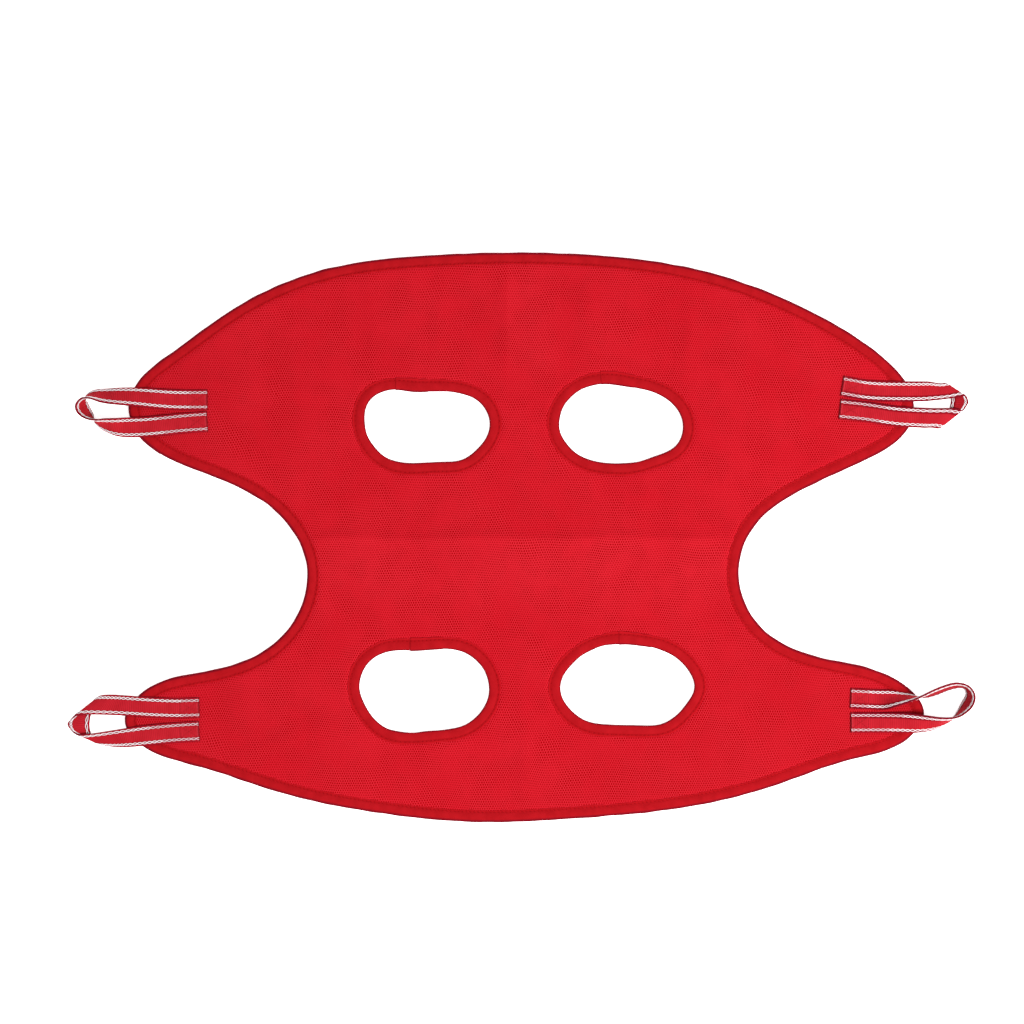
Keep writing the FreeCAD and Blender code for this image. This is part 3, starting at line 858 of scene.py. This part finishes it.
class Binding:
    """Tape folded round an edge. Side +1 lies to the left of the edge, -1 to its right."""

    def __init__(self, place, outline, side, seed):
        self.outline = outline
        self.side = side
        self.seed = seed
        self.lap_end = outline.nearest(LAPS[place])

    def lapped(self, along):
        """1 where the tape's end laps over its start."""
        back = np.mod(self.lap_end - along, self.outline.length)
        return smooth_step(back / LAP_EDGE) * (1 - smooth_step((back - LAP_LONG) / LAP_FADE))

    def finer_at_lap(self, along):
        """The stations with more of them where the tape's end stops."""
        more = self.lap_end + self.outline.length * np.array([[0], [1]]) + LAP_STATIONS
        more = more[(more > along[0]) & (more < along[-1])]
        return np.union1d(along, more)

    def section(self, along):
        """The folded tape at each place along the edge, as (stations, around, 3)."""
        place, left = self.outline.at(along)
        inset = TAPE_SECTION[:, 0]
        level = TAPE_SECTION[:, 1]
        upper = np.clip((level - TAPE_MIDDLE) / 1.2, -1, 1)
        length = self.outline.length
        pucker = ripple(along, length, *PUCKER_WAVES, self.seed)[:, None]
        slow = ripple(along, length, *SLOW_WAVES, self.seed + 1)[:, None]
        lapped = self.lapped(along)[:, None]
        belly = np.exp(-((inset - 4.4) / 2.6) ** 2)
        lip = smooth_step((inset - 7.8) / 1.6)
        fold = 1 - smooth_step(inset / 1.2)
        shown = np.arange(len(inset)) < SHOWN_TAPE
        above = np.maximum(upper, 0)
        across = inset + shown * (lip * (LIP_PUCKER * pucker + LIP_SLOW * slow + LAP_LIP * lapped)
                                  - fold * (FOLD_SLOW * slow + LAP_FOLD * lapped))
        rise = shown * above * (belly * (BELLY_PUCKER * pucker + BELLY_SLOW * slow)
                                + LIP_LIFT * lip * pucker)
        rise = rise + shown * lapped * (LAP_RISE * above - LAP_DROP * np.maximum(-upper, 0))
        flat = place[:, None] + left[:, None] * (across * self.side)[..., None]
        height = level + rise + lie(flat)
        return np.concatenate([flat, height[..., None]], axis=2)

    def cloth(self, along):
        """Places on the unfolded tape."""
        around = chord_knots(TAPE_SECTION)
        last = np.linalg.norm(TAPE_SECTION[-1] - TAPE_SECTION[0])
        around = np.append(around, around[-1] + last)
        return np.stack(np.broadcast_arrays(along[:, None], around[None]), axis=-1)

    def build(self, name, start, stop, closed):
        count = round((stop - start) / TAPE_STEP)
        if closed:
            along = start + np.arange(count) * (stop - start) / count
        else:
            along = np.linspace(start, stop, count + 1)
        along = self.finer_at_lap(along)
        section = self.section(along)
        cloth = self.cloth(np.append(along, stop) if closed else along)
        piece = make_mesh(name, *sweep(section, cloth, closed, self.side > 0), TAPE,
                          sharp_angle=70)
        return piece

    def seam_line(self, along, upper):
        """Where the thread lies on the tape's upper or lower side."""
        place, left = self.outline.at(along)
        flat = place + left * (SEAM_INSET * self.side)
        lapped = self.lapped(along)
        level = SEAM_TOP + LAP_RISE * lapped if upper else SEAM_BOTTOM - LAP_DROP * lapped
        return np.concatenate([flat, (level + lie(flat))[..., None]], axis=-1)


STITCH_LONG = 2.6
THREAD_RADIUS = 0.27
STITCH_SHARES = np.array([0.0, 0.06, 0.2, 0.5, 0.8, 0.94, 1.0])
STITCH_RISE = np.array([-0.34, -0.12, 0.08, 0.15, 0.08, -0.12, -0.34])
STITCH_FAT = np.array([0.55, 0.85, 1.0, 1.0, 1.0, 0.85, 0.55])
LOWER_SINK = 0.03
UP = np.array([0.0, 0.0, 1.0])


def build_stitches(name, upper, lower, material):
    """Threads along paths on the upper and on the lower side."""
    facing = [np.broadcast_to(UP, upper.shape), np.broadcast_to(-UP, lower.shape)]
    threads = tubes(np.concatenate([upper, lower]), np.concatenate(facing),
                    THREAD_RADIUS * STITCH_FAT)
    piece = make_mesh(name, *threads, material)
    return piece


def build_seam(name, binding, start, stop):
    """Lockstitches on both faces of a bound edge."""
    first, last = math.ceil(start / NEEDLE_PITCH), math.floor(stop / NEEDLE_PITCH)
    needles = np.arange(first, last) * NEEDLE_PITCH
    starts = needles + (NEEDLE_PITCH - STITCH_LONG) / 2
    along = starts[:, None] + STITCH_SHARES * STITCH_LONG
    upper = binding.seam_line(along, True)
    upper[..., 2] += STITCH_RISE
    lower = binding.seam_line(along, False)
    lower[..., 2] -= STITCH_RISE - LOWER_SINK
    return build_stitches(name, upper, lower, THREAD)


def build_bindings():
    outer = Binding("edge", edge, 1, 11)
    front = edge.crossing(True)
    rear = edge.crossing(False)
    spans = {"left": (front, rear), "right": (rear, front + edge.length)}
    for place, (start, stop) in spans.items():
        tape = outer.build(f"outer_binding_{place}", start, stop, False)
        stitches = build_seam(f"outer_seam_{place}", outer, start, stop)
        for piece, node in ((tape, "binding"), (stitches, "stitching")):
            fold_blend(piece)
            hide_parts(f"edge_{node}_front", f"edge_{node}_rear",
                        f"edge_{node}_{place}_front", f"edge_{node}_{place}_rear")
    for seed, (place, hole) in enumerate(holes.items(), start=30):
        ring = Binding(place, hole, -1, seed * 3)
        tape = ring.build(f"{place}_opening_binding", 0.0, hole.length, True)
        stitches = build_seam(f"{place}_opening_seam", ring, 0.0, hole.length)
        for piece, node in ((tape, "binding"), (stitches, "stitching")):
            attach(piece, "centre")
            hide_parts(f"{place}_leg_{node}")


# --- hanging loops ---

STRAP_STEP = 0.7
LIFT_END = 6
RISE_END = 25.0
DROP_START = 54.0
DROP_END = 70.0
LEVEL_SEWN = MESH_THICK + 0.02
LEVEL_FREE = MESH_THICK + 0.3
LEVEL_ON_TAPE = TAPE_TOP + 0.55
LEVEL_ON_GROUND = 0.4
OFF_CLOTH_START = 30
OFF_CLOTH_LONG = 34


def on_hammock(place, flat):
    """Points of a loop's own flat frame (outwards, to the front) as (x, y) on the hammock."""
    loop = LOOPS[place]
    angle = math.radians(loop["slant"])
    out = flat[..., 0] * loop["side"]
    x = loop["x"] + out * math.cos(angle) - flat[..., 1] * math.sin(angle)
    y = loop["y"] + out * math.sin(angle) + flat[..., 1] * math.cos(angle)
    return np.stack([x, y], axis=-1)


def lowest(out):
    """The strap's lower side above the lie of the cloth: on mesh, over the tape, then ground."""
    level = LEVEL_SEWN + (LEVEL_FREE - LEVEL_SEWN) * smooth_step(out / LIFT_END)
    level = level + (LEVEL_ON_TAPE - level) * smooth_step(out / RISE_END)
    dropped = smooth_step((out - DROP_START) / (DROP_END - DROP_START))
    return level + (LEVEL_ON_GROUND - level) * dropped


def even_path(stations, knots):
    """A smooth path through the stations at the strap's own step."""
    return cubic(knots, stations, np.linspace(0, knots[-1], round(knots[-1] / STRAP_STEP) + 1))


def run_of(centre):
    return unit(np.gradient(centre, chord_knots(centre), axis=0))


class Strap:
    """One strip of webbing: both sewn ends and the free loop between them."""

    def __init__(self, place):
        self.place = place
        self.loop = LOOPS[place]
        self.side = self.loop["side"]
        self.wing = "left_wing" if self.side < 0 else "right_wing"
        self.centre, self.across = self.turned_on_edge() if place in ROUTES else self.folded_over()
        self.along = chord_knots(self.centre)
        self.face = unit(np.cross(self.across, run_of(self.centre)) * self.side)

    def sewn_arms(self):
        """Centre lines of both sewn ends, each from the strap's cut end to the hinge line."""
        return [[(-long, cut), (-long / 2, (cut + hinge) / 2), (0, hinge)]
                for long, cut, hinge in (self.loop["front"], self.loop["rear"])]

    def turned_on_edge(self):
        """Centre line and direction across, for a strap that rolls up round its tip."""
        front, rear = ([(*point, 0) for point in arm] for arm in self.sewn_arms())
        stations = np.array(front + ROUTES[self.place] + rear[::-1], float)
        path = even_path(stations, chord_knots(stations[:, :2]))
        out = path[:, 0]
        roll = np.radians(path[:, 2])
        flat = on_hammock(self.place, path[:, :2])
        over_cloth = 1 - smooth_step((out - OFF_CLOTH_START) / OFF_CLOTH_LONG)
        level = (lowest(out) + lie(flat) * over_cloth + WEBBING_WIDE / 2 * np.abs(np.sin(roll))
                 + WEBBING_THICK / 2 * np.abs(np.cos(roll)))
        centre = np.column_stack([flat, level])
        run = run_of(centre)
        inward = unit(np.cross(run, UP) * self.side)
        lift = np.cross(inward, run) * self.side
        return centre, inward * np.cos(roll)[:, None] + lift * np.sin(roll)[:, None]

    def arm_edges(self, line, sign):
        """Outer and inner edge beside the centre line of a flat arm that runs outwards."""
        line = np.array(line, float)
        outer = to_left(unit(np.gradient(line, axis=0))) * sign * WEBBING_WIDE / 2
        level = lowest(line[:, 0]) + lie(on_hammock(self.place, line)) + WEBBING_THICK / 2
        return np.column_stack([line + outer, level, line - outer, level])

    def folded_over(self):
        """Centre line and direction across, for a strap that lies flat and doubles back."""
        front, rear = self.sewn_arms()
        front_free, rear_free = FLAT_ARMS[self.place]
        stations = np.vstack([self.arm_edges(front + front_free, 1), FOLDED_TIPS[self.place],
                              self.arm_edges(rear + rear_free[::-1], -1)[::-1]])
        path = even_path(stations, chord_knots((stations[:, :3] + stations[:, 3:]) / 2))
        outer, inner = (np.column_stack([on_hammock(self.place, path[:, i:i + 2]), path[:, i + 2]])
                        for i in (0, 3))
        return (outer + inner) / 2, (inner - outer) / WEBBING_WIDE

    def point(self, along, across, through):
        """Points beside the strap's centre line."""
        centre, side, face = (between(along, self.along, values)
                              for values in (self.centre, self.across, self.face))
        return centre + side * np.asarray(across)[..., None] + face * np.asarray(through)[..., None]

    def facing(self, along):
        return between(along, self.along, self.face)

    def from_cut_end(self, along):
        """The distance from the nearer cut end."""
        return np.minimum(along, self.along[-1] - along)

    def hinged(self, piece):
        """Bake the piece's placement into its mesh; it is not bent where its sewn ends turn into
        the hanging loop.
        """
        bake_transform(piece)


SELVEDGE_ROUND = 0.5
STRAP_THINNING = 0.06


def strap_section():
    """The strap cut across: across and through, with rounded selvedges."""
    thick = WEBBING_THICK / 2
    half = WEBBING_WIDE / 2
    flat = half - SELVEDGE_ROUND
    top = [(w, thick * (1 - STRAP_THINNING * abs(w) / half)) for w in np.linspace(-flat, flat, 15)]
    turn = [(flat + SELVEDGE_ROUND * math.sin(a), thick * (1 - STRAP_THINNING) * math.cos(a))
            for a in np.radians((35, 65, 90, 115, 145))]
    half_round = top + turn
    return np.array(half_round + [(-w, -t) for w, t in half_round])


def build_strap(strap):
    section = strap_section()
    around = np.concatenate([section[:, 0], section[:1, 0]])
    along = strap.along[:, None]
    points = strap.point(np.broadcast_to(along, (len(along), len(section))),
                         section[:, 0], section[:, 1])
    cloth = np.stack(np.broadcast_arrays(strap.from_cut_end(along), around[None]), axis=-1)
    piece = make_mesh(f"{strap.place}_strap", *sweep(points, cloth, False, strap.side > 0),
                      WEBBING, sharp_angle=60)
    strap.hinged(piece)
    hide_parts(f"{strap.place}_strap_ends", f"{strap.place}_loop")


LINK_LONG = 3.9
LINK_ROUND = 0.75
STRAND_SWING = 0.74
STRAND_RADIUS = 0.28
STRAND_STEP = 0.37
STRAND_START = 0.3
STRAND_LIFT = 0.12
STRAND_WEAVE = 0.09
STRAND_FLATTEN = 0.8


def build_yarns(strap):
    """Chains of two crossing strands near both selvedges, on both faces."""
    along = np.arange(STRAND_START, strap.along[-1] - STRAND_START, STRAND_STEP)
    phase = math.pi * along / LINK_LONG
    swing = STRAND_SWING * np.sign(np.sin(phase)) * np.abs(np.sin(phase)) ** LINK_ROUND
    paths = []
    facing = []
    for rail in (-1, 1):
        for face in (-1, 1):
            for strand in (-1, 1):
                across = rail * (WEBBING_WIDE / 2 - YARN_INSET) + strand * swing
                weave = strand * STRAND_WEAVE * np.cos(phase)
                through = face * (WEBBING_THICK / 2 + STRAND_LIFT + weave)
                paths.append(strap.point(along, across, through))
                facing.append(strap.facing(along) * face)
    points, faces, cloth = tubes(np.array(paths), np.array(facing), STRAND_RADIUS, STRAND_FLATTEN)
    cloth[:, 0] = strap.from_cut_end(cloth[:, 0])
    piece = make_mesh(f"{strap.place}_chain_yarns", points, faces, cloth, YARN)
    strap.hinged(piece)
    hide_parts(f"{strap.place}_strap_end_yarn", f"{strap.place}_loop_yarn")


BOX_STITCH = 2.4
BOX_INSET = 0.9
STITCH_TRIM = 0.06
UNDER_MESH = 0.1


def line_of_stitches(begin, end, pitch):
    """Starts and ends of the stitches along a straight seam."""
    begin, end = np.array(begin, float), np.array(end, float)
    count = max(1, round(np.linalg.norm(end - begin) / pitch))
    marks = begin + (end - begin) * (np.arange(count + 1) / count)[:, None]
    return list(zip(marks[:-1], marks[1:]))


def build_box_seams(strap):
    """A box with a cross on each sewn end, seen on the strap and under the mesh."""
    half = BOX_WIDE / 2
    total = strap.along[-1]
    front_sewn, rear_sewn = strap.loop["front"][0], strap.loop["rear"][0]
    stitches = []
    for near, far in ((BOX_INSET, front_sewn - BOX_INSET),
                      (total - rear_sewn + BOX_INSET, total - BOX_INSET)):
        corners = [(near, -half), (far, -half), (far, half), (near, half)]
        lines = list(zip(corners, corners[1:] + corners[:1]))
        lines += [(corners[0], corners[2]), (corners[1], corners[3])]
        for begin, end in lines:
            stitches += line_of_stitches(begin, end, BOX_STITCH)
    begins, ends = (np.array(marks)[:, None] for marks in zip(*stitches))
    shares = STITCH_TRIM + (1 - 2 * STITCH_TRIM) * STITCH_SHARES
    spot = begins + (ends - begins) * shares[:, None]
    upper = strap.point(spot[..., 0], spot[..., 1], WEBBING_THICK / 2 + STITCH_RISE)
    lower = upper.copy()
    lower[..., 2] = lie(upper) + UNDER_MESH - STITCH_RISE
    piece = build_stitches(f"{strap.place}_box_seams", upper, lower, BOX_THREAD)
    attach(piece, strap.wing)
    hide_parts(f"{strap.place}_box_stitching")


# --- studio, in metres ---

SKY = 1.0
KEY = 1.2
KEY_SIZE = 0.9
KEY_PLACE = (1.35, -0.85, 2.1)
FLOOR_WIDE = 14
FLOOR_DROP = 0.0002
FLOOR_PAINT = (0.96, 0.96, 0.96, 1)
FLOOR_GLOW = 0.6
WHITE = (1, 1, 1, 1)
CAMERA_HIGH = 3.0
VIEW_WIDE = 0.809
VIEW_CENTRE = (-0.0063, 0.0194)
SENSOR_MM = 36


def build_floor():
    bpy.ops.mesh.primitive_plane_add(size=FLOOR_WIDE, location=(0, 0, -FLOOR_DROP))
    floor = bpy.context.object
    floor.name = "floor"
    paint = bpy.data.materials.new("floor_paint")
    paint.use_nodes = True
    shader = paint.node_tree.nodes["Principled BSDF"]
    for name, value in (("Base Color", FLOOR_PAINT), ("Roughness", 1.0),
                        ("Specular IOR Level", 0.0), ("Emission Color", WHITE),
                        ("Emission Strength", FLOOR_GLOW)):
        shader.inputs[name].default_value = value
    floor.data.materials.append(paint)


def build_studio():
    """White floor and sky, one soft lamp from the right, and a camera straight above."""
    scene = bpy.context.scene
    build_floor()
    world = bpy.data.worlds.new("studio")
    world.use_nodes = True
    sky = world.node_tree.nodes["Background"]
    sky.inputs["Color"].default_value = WHITE
    sky.inputs["Strength"].default_value = SKY
    scene.world = world

    lamp = bpy.data.lights.new("soft_key", "AREA")
    lamp.shape = "DISK"
    lamp.size = KEY_SIZE
    place = Vector(KEY_PLACE)
    slant = place.z / place.length
    lamp.energy = KEY * math.pi ** 2 * place.length_squared / slant
    key = bpy.data.objects.new("soft_key", lamp)
    key.location = place
    key.rotation_euler = (-place).to_track_quat("-Z", "Y").to_euler()
    scene.collection.objects.link(key)

    lens = bpy.data.cameras.new("camera")
    lens.sensor_width = SENSOR_MM
    lens.lens = SENSOR_MM * CAMERA_HIGH / VIEW_WIDE
    camera = bpy.data.objects.new("camera", lens)
    camera.location = (*VIEW_CENTRE, CAMERA_HIGH)
    scene.collection.objects.link(camera)
    scene.camera = camera
    scene.view_settings.view_transform = "Standard"


build_panel()
build_bindings()
for corner in LOOPS:
    strip = Strap(corner)
    build_strap(strip)
    build_yarns(strip)
    build_box_seams(strip)
build_studio()
